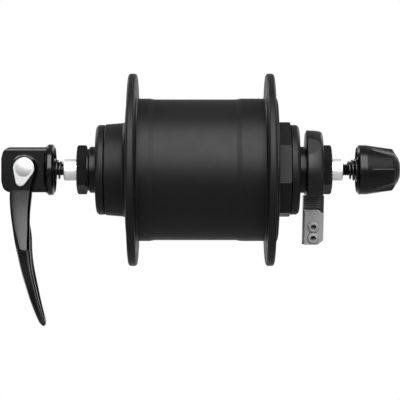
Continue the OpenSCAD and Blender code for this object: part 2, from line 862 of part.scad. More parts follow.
module end_cap() {
    spigot_r = bore_r - slip;
    groove_x = shell_end - ring_d - 0.6;
    color(satin)
        difference() {
            union() {
                turned()
                    polygon(outline([
                        [wall_hole_r, right_seat - 2, 0],
                        [spigot_r - spigot_wall, right_seat - 2, 0],
                        [spigot_r - spigot_wall, spigot_end, 0],
                        [spigot_r, spigot_end, 0],
                        [spigot_r, groove_x - ring_d / 2, 0],
                        [spigot_r - ring_d, groove_x - ring_d / 2, 0],
                        [spigot_r - ring_d, groove_x + ring_d / 2, 0],
                        [spigot_r, groove_x + ring_d / 2, 0],
                        [spigot_r, shell_end, 0],
                        [drum_r + 0.2, shell_end, 0],
                        [drum_r + 0.2, disc_face - 0.5, 0],
                        [drum_r - 0.6, disc_face - 0.15, 0],
                        [octagon_d / 2 - 2, disc_face, 0],
                        [wall_hole_r, disc_face, 0]
                    ]));
                intersection() {
                    rotate([octagon_angle, 0, 0])
                        translate([disc_face - disc_t / 2, 0, 0])
                            rotate([0, 90, 0])
                                cylinder(d = octagon_d, h = octagon_len + disc_t / 2, $fn = 8);
                    turned()
                        polygon([
                            [0, disc_face - disc_t],
                            [octagon_d / 2, disc_face - disc_t],
                            [octagon_d / 2, octagon_end - 0.3],
                            [octagon_d / 2 - 0.6, octagon_end],
                            [0, octagon_end]
                        ]);
                }
            }
            rod(wall_hole_r, right_seat - 3, octagon_end + margin);
            rod(cup_r + seat, right_seat - seat, octagon_end + margin);
        }
}

module end_cap_seal() {
    color(rubber)
        turned()
            translate([bore_r - slip - ring_d / 2, shell_end - ring_d - 0.6])
                circle(r = ring_d / 2 - seat, $fn = 48);
}

// Dust cap on the right-hand side, against a hub face at u
module dust_cap(u) {
    hole_r = cone_r + 0.4;
    turned()
        polygon(outline([
            [hole_r + 2, u - cap_spigot, 0],
            [cup_r - seat, u - cap_spigot, 0],
            [cup_r - seat, u, 0],
            [dust_cap_d / 2 - 0.5, u, 0],
            [dust_cap_d / 2, u + 0.4, 0],
            [dust_cap_d / 2, u + dust_cap_len, dust_cap_round],
            [hole_r, u + dust_cap_len, 0.3],
            [hole_r, u + dust_cap_len - 1.4, 0],
            [hole_r + 2, u + dust_cap_len - 1.4, 0]
        ]));
}

// Rubber ring inside that dust cap
module seal(u) {
    ring(cone_r + clear, cone_r + 2.4 - seat, u - cap_spigot + slip, u + dust_cap_len - 1.4 - slip);
}

// Bearing cup about a race at u, opening to +X
module cup(u) {
    turned()
        polygon(concat(
            [
                [circle_r - 0.3, u - cup_back],
                [cup_r, u - cup_back],
                [cup_r, u + cup_front],
                [circle_r + race_r, u + cup_front]
            ],
            arc([circle_r, u], race_r, 0, -90),
            [[circle_r - 0.3, u - race_r]]
        ));
}

// Balls of a race at u
module balls(u, r) {
    for (i = [0:ball_count - 1])
        rotate([i * 360 / ball_count, 0, 0])
            translate([u, 0, circle_r])
                sphere(r = r);
}

// Comb-shaped ball cage on the outer side of a race at u
module ball_cage(u) {
    difference() {
        ring(cone_r + clear, circle_r + race_r - 2 * clear, u + 0.6, u + race_r + cage_wall);
        balls(u, ball_r + 0.12);
    }
}

module left_dust_cap() {
    color(satin)
        mirror([1, 0, 0])
            dust_cap(-boss_end);
}

module right_dust_cap() {
    color(satin)
        dust_cap(octagon_end);
}

module left_seal() {
    color(rubber)
        mirror([1, 0, 0])
            seal(-boss_end);
}

module right_seal() {
    color(rubber)
        seal(octagon_end);
}

module left_bearing_cup() {
    color(steel)
        mirror([1, 0, 0])
            cup(left_ball_u);
}

module right_bearing_cup() {
    color(steel)
        cup(right_ball_u);
}

module left_balls() {
    color(steel)
        mirror([1, 0, 0])
            balls(left_ball_u, ball_r);
}

module right_balls() {
    color(steel)
        balls(right_ball_u, ball_r);
}

module left_ball_cage() {
    color([0.6, 0.58, 0.5])
        mirror([1, 0, 0])
            ball_cage(left_ball_u);
}

module right_ball_cage() {
    color([0.6, 0.58, 0.5])
        ball_cage(right_ball_u);
}

module flux_ring() {
    color(steel)
        ring(flux_in_r, flux_out_r, stator_left - 1, stator_right + 1);
}

module magnet_segments() {
    pitch = 360 / magnet_count;
    color([0.25, 0.25, 0.27])
        for (i = [0:magnet_count - 1])
            rotate([i * pitch, 0, 0])
                rotate([0, 90, 0])
                    rotate_extrude(angle = pitch - 2)
                        translate([magnet_in_r, stator_left])
                            square([magnet_t, stator_len]);
}

module skewer_rod() {
    head = pivot_x + eye_len / 2;
    start = rod_end - thread_len;
    turns = floor(thread_len / thread_pitch) - 1;
    root_r = thread_d / 2 - 0.3;
    color(steel)
        difference() {
            turned()
                polygon(concat(
                    outline([
                        [0, pivot_x - eye_len / 2, 0],
                        [eye_r, pivot_x - eye_len / 2, 0.8],
                        [eye_r, head, 0.8],
                        [rod_d / 2, head, 0],
                        [rod_d / 2, start, 0]
                    ]),
                    [for (i = [0:turns], s = [0:1])
                        [s == 0 ? root_r : thread_d / 2, start + (i + s / 2) * thread_pitch]],
                    [[root_r, rod_end], [0, rod_end]]
                ));
            translate([pivot_x - cam_r - offset_r - eye_play, -eye_d, -cam_r - offset_r - 0.2])
                cube([cam_d + 2 * eye_play, 2 * eye_d, cam_d + 2 * offset_r + 0.4]);
        }
}

module cam_housing() {
    flare_x = clamp_x - flare_len;
    color(plastic)
        difference() {
            union() {
                housing_barrel(flare_x);
                turned()
                    polygon(outline([
                        [0, flare_x, 0],
                        [housing_r, flare_x, 0.3],
                        [base_d / 2, clamp_x - 2.4, 0.5],
                        [base_d / 2 - 0.1, clamp_x - 0.7, 0.4],
                        [clamp_out_d / 2 + seat, clamp_x, 0],
                        [0, clamp_x, 0]
                    ]));
            }
            rod(clamp_out_d / 2 + seat, clamp_x - clamp_t, clamp_x + margin);
            rod(spring_pocket_r, clamp_x - left_pocket, clamp_x);
            rod(eye_bore_r, pivot_x - eye_len / 2 - clear, clamp_x);
            translate([pivot_x, 0, 0])
                rotate([90, 0, 0])
                    cylinder(r = journal_r + seat, h = 2 * base_d, center = true);
        }
}

// Barrel with a domed end and rounded long edges, up to the flare at x
module housing_barrel(x) {
    r = barrel_round;
    intersection() {
        translate([0, side_y, 0])
            rotate([90, 0, 0])
                linear_extrude(height = housing_w)
                    polygon(outline([for (s = [1, -1], k = [0:3])
                        let (i = s > 0 ? k : 3 - k)
                        [
                            [housing_end, housing_end + 0.8, housing_end + 2.8, x + margin][i],
                            s * [0.5, 0.85, 1, 1][i] * housing_r,
                            [0.5, 2.5, 2.5, 0][i]
                        ]]));
        translate([housing_end - margin, 0, 0])
            rotate([90, 0, 90])
                linear_extrude(height = housing_len)
                    polygon(outline([
                        [-side_y, -housing_r, r], [side_y, -housing_r, r],
                        [side_y, housing_r, r], [-side_y, housing_r, r]
                    ]));
    }
}

// Toothed clamp ring whose face points to +X at x = 0
module clamp_ring() {
    difference() {
        ring(clamp_in_d / 2, clamp_out_d / 2, -clamp_t + seat, 0);
        for (i = [0:tooth_count - 1])
            rotate([i * 360 / tooth_count, 0, 0])
                translate([0, 0, clamp_in_d / 2 - margin])
                    rotate([0, 0, 45])
                        translate([-tooth_depth * 0.7, -tooth_depth * 0.7, 0])
                            cube([tooth_depth * 1.4, tooth_depth * 1.4, clamp_out_d / 2]);
    }
}

module housing_clamp_ring() {
    color(steel)
        translate([clamp_x, 0, 0])
            clamp_ring();
}

module nut_clamp_ring() {
    color(steel)
        translate([nut_face, 0, 0])
            mirror([1, 0, 0])
                clamp_ring();
}

// Centre line of a conical spring from its small end at x = 0 to its large end at x = length
function spring_at(t, length) =
    let (
        r = (spring_small_d + (spring_large_d - spring_small_d) * t) / 2,
        a = t * spring_turns * 360
    )
    [length * t, r * cos(a), r * sin(a)];

spring_sides = 6;
spring_rings = 8 * spring_turns;

function spring_ring(i, length) =
    let (
        t = i / spring_rings,
        c = spring_at(t, length),
        out = unit([0, c[1], c[2]])
    )
    [for (k = [0:spring_sides - 1])
        let (b = k * 360 / spring_sides)
        c + wire_d / 2 * (cos(b) * out + sin(b) * [1, 0, 0])];

module spring(length) {
    points = [for (i = [0:spring_rings]) each spring_ring(i, length)];
    last = spring_rings * spring_sides;
    sides = [for (i = [0:spring_rings - 1], k = [0:spring_sides - 1])
        let (a = i * spring_sides + k, b = i * spring_sides + (k + 1) % spring_sides)
        each [[a, b, b + spring_sides], [a, b + spring_sides, a + spring_sides]]];
    ends = [for (k = [1:spring_sides - 2])
        each [[0, k + 1, k], [last, last + k, last + k + 1]]];
    polyhedron(points = points, faces = concat(sides, ends));
}

function spring_gap(length) =
    min([for (i = [0:spring_rings], j = [0:spring_rings])
        if (j - i > 5) norm(spring_at(i / spring_rings, length) - spring_at(j / spring_rings, length))])
    - wire_d;

echo(left_spring_gap = spring_gap(left_spring_len), right_spring_gap = spring_gap(right_spring_len));

module left_spring() {
    color(plastic)
        translate([clamp_x - left_pocket + wire_d / 2 + slip + left_spring_len, 0, 0])
            mirror([1, 0, 0])
                spring(left_spring_len);
}

module right_spring() {
    color(plastic)
        translate([nut_face + right_pocket - wire_d / 2 - slip - right_spring_len, 0, 0])
            spring(right_spring_len);
}

// The lever's middle line, half thickness and side faces at a distance t below its pivot
function smooth(t) = let (c = min(max(t, 0), 1)) c * c * (3 - 2 * c);
function lever_mid(t) = t < 0 ? 0 : -lever_set * smooth(t / 9) - lever_slope * t + lever_bow * t * t;
function lever_half(t) =
    let (
        boss_half = lever_boss_d / 2,
        down = t + boss_rise,
        left = lever_len - t,
        neck_start = 11.5,
        neck_len = 10
    )
    down < 0
    ? sqrt(max(boss_half * boss_half - down * down, 0.16))
    : (boss_half - (boss_half - 4.2) * smooth(down / 9) - neck_taper * min(max(t - neck_start, 0), neck_len)
        - lever_taper * max(t - neck_start - neck_len, 0))
        * sqrt(max(1 - pow(max(3 - left, 0) / 3, 2), 0.09));
function lever_near(t) =
    arm_near + (arm_near < -paddle_w / 2 ? (-paddle_w / 2 - arm_near) * smooth((t - 20) / 18) : 0)
    + 2.4 * pow(max(t - lever_len * 0.6, 0) / (lever_len * 0.4), 2);
function lever_far(t) =
    t < sweep_r + clear
    ? arm_far
    : arm_far + (paddle_w / 2 - arm_far) * smooth((t - sweep_r) / 12)
        - 2.4 * pow(max(t - lever_len * 0.6, 0) / (lever_len * 0.4), 2);

lever_steps = 44;
lever_points = 20;

function lever_section(t) =
    let (n = lever_near(t), f = lever_far(t), h = lever_half(t), round_in = min(1, h * 0.6))
    [for (k = [0:lever_points - 1])
        let (
            q = floor(k * 4 / lever_points),
            a = q * 90 + (k - q * lever_points / 4) * 90 / (lever_points / 4 - 1),
            sx = q == 0 || q == 3 ? 1 : -1,
            sy = q < 2 ? 1 : -1
        )
        [
            pivot_x + lever_mid(t) + sx * (h - round_in) + round_in * cos(a),
            (n + f) / 2 + sy * ((f - n) / 2 - round_in) + round_in * sin(a),
            -t
        ]];

module lever_form() {
    top = lever_boss_d / 2 - 0.02;
    fall = lever_len + boss_rise;
    levels = [for (i = [0:lever_steps])
        let (a = (i - 8) * 160 / (lever_steps - 8))
        (i < 8 ? -top * cos(i * 90 / 8) : fall * (1 - cos(a)) / (1 - cos(160))) - boss_rise];
    points = [for (t = levels) each lever_section(t)];
    last = lever_steps * lever_points;
    sides = [for (i = [0:lever_steps - 1], k = [0:lever_points - 1])
        let (a = i * lever_points + k, b = i * lever_points + (k + 1) % lever_points)
        each [[a, b, b + lever_points], [a, b + lever_points, a + lever_points]]];
    ends = [for (k = [1:lever_points - 2])
        each [[0, k + 1, k], [last, last + k, last + k + 1]]];
    polyhedron(points = points, faces = concat(sides, ends));
}

module qr_lever() {
    color(plastic)
        difference() {
            lever_form();
            translate([pivot_x, 0, 0])
                rotate([90, 0, 0])
                    cylinder(r = journal_r - 0.4 + seat, h = 4 * arm_t - arm_far, center = false);
        }
}

// Round piece on the lever's pivot line, from y0 to y1
module on_pivot(r, y0, y1) {
    translate([pivot_x, y1, 0])
        rotate([90, 0, 0])
            cylinder(r = r, h = y1 - y0);
}

module cam_shaft() {
    color(steel) {
        on_pivot(journal_r, arm_far + slip, -eye_bore_r - slip);
        on_pivot(journal_r - 0.4, arm_near + slip, arm_far + slip);
        translate([-offset_r, 0, 0])
            on_pivot(cam_r, -eye_bore_r - slip, eye_bore_r + slip);
        on_pivot(journal_r, eye_bore_r + slip, side_y);
        on_pivot(journal_r - 1, side_y, side_y + 2.6);
    }
}

module cam_nut() {
    color(steel)
        difference() {
            on_pivot(journal_r + 1.2, side_y + slip, side_y + 2.8);
            on_pivot(journal_r - 1 + seat, 0, side_y + 2.6 + seat);
        }
}

module lever_cap() {
    color([0.85, 0.85, 0.86])
        translate([pivot_x, arm_near, boss_rise])
            rotate([90, -cap_turn, 0])
                linear_extrude(height = cap_t) {
                    lean = asin((cap_r - cap_tip_r) / cap_reach);
                    circle(r = cap_r);
                    translate([0, -cap_reach])
                        circle(r = cap_tip_r);
                    polygon([
                        [cap_r * cos(lean), -cap_r * sin(lean)],
                        [-cap_r * cos(lean), -cap_r * sin(lean)],
                        [-cap_tip_r * cos(lean), -cap_reach - cap_tip_r * sin(lean)],
                        [cap_tip_r * cos(lean), -cap_reach - cap_tip_r * sin(lean)]
                    ]);
                }
}

module qr_nut() {
    collar_end = nut_face + collar_nut_len;
    nut_run = nut_body_len - collar_nut_len;
    nut_drop = (collar_nut_d - nut_tip_d) / 2;
    grip_lead = 0.2;
    end_face_r = 3.1;
    end_bulge_r = 4.9;
    end_bulge = 0.75;
    color(plastic)
        difference() {
            turned()
                polygon(outline([
                    [0, nut_end, 0],
                    [end_face_r, nut_end, 0.5],
                    [end_bulge_r, nut_end - end_bulge, 1],
                    [nut_tip_d / 2, nut_shoulder, 0.5],
                    [collar_nut_d / 2, collar_end, 0],
                    [collar_nut_d / 2, nut_face + 0.8, 0.4],
                    [clamp_out_d / 2 + seat, nut_face, 0],
                    [clamp_out_d / 2 + seat, nut_face + clamp_t, 0],
                    [spring_pocket_r, nut_face + clamp_t, 0],
                    [spring_pocket_r, nut_face + right_pocket, 0],
                    [insert_d / 2 + seat, nut_face + right_pocket, 0],
                    [insert_d / 2 + seat, insert_start + insert_len, 0],
                    [rod_d / 2 + clear, insert_start + insert_len, 0],
                    [rod_d / 2 + clear, nut_shoulder, 0],
                    [0, nut_shoulder, 0]
                ]));
            for (i = [0:2])
                rotate([i * 120 + 150, 0, 0])
                    translate([collar_end, 0, collar_nut_d / 2 + grip_lead])
                        rotate([0, 90 + atan((nut_drop + grip_cut + grip_lead) / nut_run), 0])
                            translate([-grip_r, 0, 0])
                                cylinder(r = grip_r, h = 2 * nut_body_len);
        }
    color(plastic)
        for (i = [0:2])
            rotate([i * 120 + 90, 0, 0])
                nut_rib(collar_end, atan((nut_drop - grip_rib_h) / nut_run));
}

// Round rib on the nut's taper, from x to the far shoulder, falling at the given angle
module nut_rib(x, fall) {
    root = 0.8;
    sink = 0.1;
    translate([x, 0, collar_nut_d / 2 - sink])
        rotate([0, 90 + fall, 0])
            translate([grip_rib_w / 2, 0, -root])
                cylinder(d = grip_rib_w, h = nut_shoulder - x + root);
}

module nut_insert() {
    color([0.75, 0.63, 0.35])
        ring(thread_d / 2 + slip, insert_d / 2, insert_start, insert_start + insert_len - seat);
}

axle();
left_locknut();
right_locknut();
left_cone();
right_cone();
right_lock_washer();
stator_core();
claw_pole_left();
claw_pole_right();
bobbin();
coil_winding();
stator_nut();
lead_wire();
terminal_body();
terminal_blades();
connector_cap();
connector_cover();
hub_shell();
end_cap();
left_dust_cap();
right_dust_cap();
left_bearing_cup();
right_bearing_cup();
left_seal();
right_seal();
flux_ring();
magnet_segments();
end_cap_seal();
left_balls();
left_ball_cage();
right_balls();
right_ball_cage();
skewer_rod();
cam_housing();
housing_clamp_ring();
left_spring();
right_spring();
qr_lever();
cam_shaft();
lever_cap();
cam_nut();
qr_nut();
nut_insert();
nut_clamp_ring();
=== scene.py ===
import json

import bmesh
import bpy
import numpy as np
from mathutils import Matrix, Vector


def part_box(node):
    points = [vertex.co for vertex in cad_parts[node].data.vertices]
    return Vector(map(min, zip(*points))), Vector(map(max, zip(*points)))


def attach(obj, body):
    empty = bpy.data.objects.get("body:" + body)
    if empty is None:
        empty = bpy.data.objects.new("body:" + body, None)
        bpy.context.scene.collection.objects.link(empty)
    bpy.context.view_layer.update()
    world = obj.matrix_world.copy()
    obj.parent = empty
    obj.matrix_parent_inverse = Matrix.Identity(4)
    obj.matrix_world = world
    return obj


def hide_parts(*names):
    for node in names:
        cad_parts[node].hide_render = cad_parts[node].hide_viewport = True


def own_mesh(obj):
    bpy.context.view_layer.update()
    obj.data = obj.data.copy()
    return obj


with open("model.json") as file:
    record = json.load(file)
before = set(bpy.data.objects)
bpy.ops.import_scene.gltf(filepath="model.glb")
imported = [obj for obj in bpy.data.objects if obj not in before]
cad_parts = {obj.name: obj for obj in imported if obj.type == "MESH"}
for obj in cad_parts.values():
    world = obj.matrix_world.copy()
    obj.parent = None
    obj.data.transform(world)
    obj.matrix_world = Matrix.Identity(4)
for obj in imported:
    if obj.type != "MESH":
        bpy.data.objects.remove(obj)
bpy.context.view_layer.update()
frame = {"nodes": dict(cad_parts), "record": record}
nodes = frame["nodes"]
mm = 0.001
halfTurn = np.pi
fullTurn = 2 * np.pi
print("frame loaded with", len(nodes), "nodes")


class Value:  # a shader socket that can stand in a sum or a product
    def __init__(self, finish, socket):
        self.finish = finish
        self.socket = socket

    def math(self, operation, first, second):
        return self.finish.node("Math", {"operation": operation}, {0: first, 1: second})

    def __add__(self, other):
        return self.math("ADD", self, other)

    def __radd__(self, other):
        return self.math("ADD", other, self)

    def __mul__(self, other):
        return self.math("MULTIPLY", self, other)

    def __rmul__(self, other):
        return self.math("MULTIPLY", other, self)


class Finish:  # a node material with one Principled shader
    def __init__(self, name, **constants):
        self.material = bpy.data.materials.new(name)
        self.material.use_nodes = True
        self.tree = self.material.node_tree
        self.tree.nodes.clear()
        self.shader = self.tree.nodes.new("ShaderNodeBsdfPrincipled")
        self.output = self.tree.nodes.new("ShaderNodeOutputMaterial")
        self.tree.links.new(self.shader.outputs[0], self.output.inputs[0])
        for key, value in constants.items():
            self.put(self.shader.inputs[key], value)

    def put(self, socket, value):  # a link, a colour or a number into a socket
        if isinstance(value, Value):
            self.tree.links.new(value.socket, socket)
        elif isinstance(value, tuple) and len(value) == 3 and len(socket.default_value) == 4:
            socket.default_value = (*value, 1)
        else:
            socket.default_value = value

    def node(self, kind, settings=None, sockets=None, out=0):
        added = self.tree.nodes.new("ShaderNode" + kind)
        for key, value in (settings or {}).items():
            setattr(added, key, value)
        for key, value in (sockets or {}).items():
            self.put(added.inputs[key], value)
        return Value(self, added.outputs[out])

    def give(self, **sockets):
        for key, value in sockets.items():
            self.put(self.shader.inputs[key.replace("_", " ")], value)
        return self

    def place(self, stretch):  # object coordinates, in metres, stretched
        where = self.node("TexCoord", out="Object")
        return self.node("Mapping", sockets={"Vector": where, "Scale": stretch})

    def noise(self, size, detail, stretch=(1, 1, 1)):  # 0..1 cloud whose grain is size metres
        where = self.place(stretch)
        return self.node("TexNoise", sockets={"Vector": where, "Scale": 1 / size, "Detail": detail})

    def tint(self, low, high, factor):  # inputs 6 and 7 of a Mix node are its colours, output 2 the mixed one
        return self.node("Mix", {"data_type": "RGBA"}, {"Factor": factor, 6: low, 7: high}, out=2)

    def bump(self, height, depth):
        return self.node("Bump", sockets={"Height": height, "Distance": depth, "Strength": 1.0})


evenGrain = (1, 1, 1)
ringGrain = (1, 0.02, 0.02)  # rings round X, as a lathe leaves them
cloudDetail = 3
grainDetail = 2

# anodised and blackened metal: lengths in metres, and how far cloud and grain vary the roughness
blackened = {"grain": 0.00035, "depth": 0.000004, "cloud": 0.006, "cloudGloss": 0.1, "grainGloss": 0.04}


def blackFinish(name, base, spread, rough, shine, grain=evenGrain):
    # fine tool marks under a soft cloud of gloss
    finish = Finish(name, **{"Specular IOR Level": shine})
    marks = finish.noise(blackened["grain"], grainDetail, grain)
    cloud = finish.noise(blackened["cloud"], cloudDetail)
    shade = finish.tint((base - spread,) * 3, (base + spread,) * 3, cloud)
    vary = blackened["cloudGloss"]
    gloss = rough - vary / 2 + vary * cloud + blackened["grainGloss"] * marks
    relief = finish.bump(marks, blackened["depth"])
    return finish.give(Base_Color=shade, Roughness=gloss, Normal=relief).material


moulded = {"grain": 0.0003, "depth": 0.000012, "shine": 0.4, "cloud": 0.004, "pitGloss": 0.12}


def mouldedFinish(name, base, spread, rough, shine=moulded["shine"], grain=moulded["grain"],
                  depth=moulded["depth"]):
    # injection-moulded plastic with a fine spark-eroded grain
    finish = Finish(name, **{"Specular IOR Level": shine})
    pits = finish.noise(grain, grainDetail)
    cloud = finish.noise(moulded["cloud"], cloudDetail)
    tone = base if isinstance(base, tuple) else (base,) * 3
    shade = finish.tint(tuple(c - spread for c in tone), tuple(c + spread for c in tone), cloud)
    vary = moulded["pitGloss"]
    gloss = rough - vary / 2 + vary * pits
    return finish.give(Base_Color=shade, Roughness=gloss, Normal=finish.bump(pits, depth)).material


bareMetal = {
    "scratch": 0.00025, "depth": 0.000003, "cloud": 0.005, "dull": 0.93, "glossLow": 0.04, "glossRange": 0.1,
}


def metalFinish(name, tone, rough, scratch=bareMetal["scratch"], depth=bareMetal["depth"], grain=ringGrain):
    # bare metal with fine tool marks, in rings unless the grain is even
    finish = Finish(name, Metallic=1.0)
    marks = finish.noise(scratch, grainDetail, grain)
    cloud = finish.noise(bareMetal["cloud"], cloudDetail)
    shade = finish.tint(tuple(c * bareMetal["dull"] for c in tone), tone, cloud)
    gloss = rough - bareMetal["glossLow"] + bareMetal["glossRange"] * marks
    return finish.give(Base_Color=shade, Roughness=gloss, Normal=finish.bump(marks, depth)).material


# what each finish looks like
blackLook = {
    "satinBlack": {"base": 0.0018, "spread": 0.0005, "rough": 0.47, "shine": 0.22, "grain": ringGrain},
    "gunBlack": {"base": 0.0026, "spread": 0.0008, "rough": 0.30, "shine": 0.18},
    "glossBlack": {"base": 0.0016, "spread": 0.0005, "rough": 0.17, "shine": 0.3},
    "springBlack": {"base": 0.004, "spread": 0.001, "rough": 0.24, "shine": 0.7},
    "clampBlack": {"base": 0.003, "spread": 0.001, "rough": 0.6, "shine": 0.15},
    "gripBlack": {"base": 0.0018, "spread": 0.0005, "rough": 0.24, "shine": 0.22},
}
mouldedLook = {
    "mouldBlack": {"base": 0.005, "spread": 0.001, "rough": 0.36, "shine": 0.23},
    "mouldGrey": {"base": 0.27, "spread": 0.015, "rough": 0.5, "shine": 0.3},
    "naturalPlastic": {"base": (0.72, 0.69, 0.58), "spread": 0.03, "rough": 0.45},
    "redInsulation": {"base": (0.42, 0.04, 0.03), "spread": 0.02, "rough": 0.4},
    "sealRubber": {"base": 0.018, "spread": 0.004, "rough": 0.7},
    "sinteredMagnet": {"base": 0.06, "spread": 0.012, "rough": 0.55, "grain": 0.0002, "depth": 0.00002},
    # the ribbed cap's copy of the black plastic: its higher shine and lower roughness are the material, its
    # paler base is painted light
    "ribBlack": {"base": 0.01, "spread": 0.002, "rough": 0.3, "shine": 0.5},
}
metalLook = {
    "brightSteel": {"tone": (0.92, 0.92, 0.91), "rough": 0.46},
    "coreSteel": {"tone": (0.45, 0.45, 0.46), "rough": 0.45},
    "bearingSteel": {"tone": (0.75, 0.75, 0.77), "rough": 0.12},
    "silverTrim": {"tone": (0.5, 0.5, 0.5), "rough": 0.37, "grain": evenGrain},
    "enamelledCopper": {"tone": (0.72, 0.36, 0.16), "rough": 0.3, "scratch": 0.0004, "depth": 0.00003},
    "contactBrass": {"tone": (0.78, 0.6, 0.3), "rough": 0.25, "grain": evenGrain},
}
finishes = {}
for maker, looks in ((blackFinish, blackLook), (mouldedFinish, mouldedLook), (metalFinish, metalLook)):
    for name, look in looks.items():
        finishes[name] = maker(name, **look)

# the record's material slots, and the finish of each
slotFinish = {
    "black_alloy": "satinBlack", "black_steel": "gunBlack", "black_gloss": "glossBlack",
    "clamp_steel": "clampBlack", "black_plastic": "mouldBlack", "grey_plastic": "mouldGrey",
    "natural_plastic": "naturalPlastic", "red_insulation": "redInsulation", "rubber": "sealRubber",
    "magnet": "sinteredMagnet", "bright_steel": "brightSteel", "core_steel": "coreSteel",
    "bearing_steel": "bearingSteel", "silver_trim": "silverTrim", "copper": "enamelledCopper",
    "contact_brass": "contactBrass",
}
# the nut's grip is duller than the lever; the plug's ribbed cap is glossier than the terminal, and its paler
# base is painted light that makes the ribs read brighter
ownFinish = {"qr_nut": "gripBlack", "connector_cap": "ribBlack"}
flatWeight = 100  # how much large faces count for the shading of their edges
for part in frame["record"]["subparts"]:
    name = part["node"]
    obj = nodes[name]
    obj.data.materials.clear()
    obj.data.materials.append(finishes[ownFinish.get(name, slotFinish[part["material_slot"]])])
    even = obj.modifiers.new("evenNormals", "WEIGHTED_NORMAL")
    even.keep_sharp = True
    even.weight = flatWeight
print("finishes made:", len(finishes))

# points in the same step of the grid, in mm, become one; the shift keeps round numbers off the steps' edges
weld = {"grid": 0.0005, "shift": 0.137}


def welded(points, faces):
    # points in one step become one, and quads that lose a side become triangles
    keys = np.round(points / weld["grid"] + weld["shift"]).astype(np.int64)
    _, first, back = np.unique(keys, axis=0, return_index=True, return_inverse=True)
    faces = back.reshape(-1)[faces]
    same = faces == np.roll(faces, 1, axis=1)
    quads = faces[~same.any(1)]
    bent = same.sum(1) == 1
    tris = faces[bent][~same[bent]].reshape(-1, 3)
    return points[first], quads.tolist() + tris.tolist()


def solid(name, grid, finish, sharp=35):
    # a grid of points (rows, columns, 3) in mm becomes quads; borders that meet are welded
    rows, cols = grid.shape[:2]
    corner = (np.arange(rows - 1)[:, None] * cols + np.arange(cols - 1)[None, :]).reshape(-1)
    quads = np.stack([corner, corner + cols, corner + cols + 1, corner + 1], -1)
    points, faces = welded(grid.reshape(-1, 3), quads)
    mesh = bpy.data.meshes.new(name)
    mesh.from_pydata((points * mm).tolist(), [], faces)
    work = bmesh.new()
    work.from_mesh(mesh)
    bmesh.ops.recalc_face_normals(work, faces=work.faces)
    work.to_mesh(mesh)
    work.free()
    mesh.polygons.foreach_set("use_smooth", np.ones(len(mesh.polygons), bool))
    mesh.set_sharp_from_angle(angle=np.radians(sharp))
    mesh.materials.append(finishes[finish])
    obj = bpy.data.objects.new(name, mesh)
    bpy.context.scene.collection.objects.link(obj)
    return obj


def stands(obj, body, finish, *cadNodes):
    # the piece moves with that body in place of those CAD nodes
    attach(obj, body)
    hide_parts(*cadNodes)
    return obj


def smooth(t):  # 0 before 0, 1 after 1, an S between
    c = np.clip(t, 0, 1)
    return c * c * (3 - 2 * c)


def ease(t, span):  # that S over a span, given as its start and its length
    start, length = span
    return smooth((t - start) / length)


tiny = 1e-9  # keeps a side of no length from a division by zero


def direction(sides):  # lengths of vectors, and the vectors made one long
    length = np.linalg.norm(sides, axis=-1, keepdims=True)
    return length, sides / np.maximum(length, tiny)


# sideShare is the most of a side that an arc takes
cornerArc = {"steps": 6, "sideShare": 0.48, "straight": 0.9999}


def rounded(corners, radii):
    # closed outlines (rows, corners, 2): each corner becomes an arc of its radius, from one side to the next
    lengthBack, back = direction(np.roll(corners, 1, axis=1) - corners)
    lengthOn, on = direction(np.roll(corners, -1, axis=1) - corners)
    straight = cornerArc["straight"]
    half = np.arccos(np.clip((back * on).sum(-1, keepdims=True), -straight, straight)) / 2
    most = cornerArc["sideShare"] * np.minimum(lengthBack, lengthOn)
    reach = np.minimum(radii[..., None] / np.tan(half), most)
    t = np.linspace(0, 1, cornerArc["steps"])[:, None]
    start = (corners + back * reach)[:, :, None]
    end = (corners + on * reach)[:, :, None]
    pull = 2 * (1 - t) * t * np.cos(halfTurn / 2 - half)[:, :, None]
    curve = (1 - t) ** 2 * start + pull * corners[:, :, None] + t ** 2 * end
    curve = curve / ((1 - t) ** 2 + pull + t ** 2)
    return curve.reshape(len(corners), -1, 2)


def closing(grid):  # a ring of columns joined back to its first
    return np.concatenate([grid, grid[:, :1]], axis=1)


def capped(grid):  # end rows drawn in to their middle points
    first = np.broadcast_to(grid[:1].mean(1, keepdims=True), grid[:1].shape)
    last = np.broadcast_to(grid[-1:].mean(1, keepdims=True), grid[-1:].shape)
    return np.concatenate([first, grid, last])


# conical springs at both ends of the axle, in mm
spring = {
    "wire": 0.85, "small": 5.8, "large": 10.8, "turns": 4.5, "rings": 200, "sides": 16, "pressed": 0.5,
}


def coilSpring(name, node, body, way):
    # round wire on a cone: radius and travel grow evenly with the turn, way is +1 where it widens towards +X
    low, high = (np.array(c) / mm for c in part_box(node))
    half = spring["wire"] / 2
    start, end = (low[0] + half, high[0] - half)[::way]
    t = np.linspace(0, 1, spring["rings"] + 1)[:, None]
    turn = fullTurn * spring["turns"] * t
    radius = (spring["small"] + (spring["large"] - spring["small"]) * t) / 2
    ring = np.linspace(0, fullTurn, spring["sides"] + 1)[None, :]
    reach = radius + half * np.cos(ring)
    along = start + (end - start) * t + half * np.sin(ring)
    grid = np.stack([along, reach * np.cos(turn), reach * np.sin(turn)], -1)
    return stands(solid(name, capped(grid), "springBlack"), body, "black_steel", node)


coilSpring("leftCoil", "left_spring", "cam_body", -1)
rightCoil = coilSpring("rightCoil", "right_spring", "nut_seat", 1)
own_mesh(rightCoil)
print("springs wound")

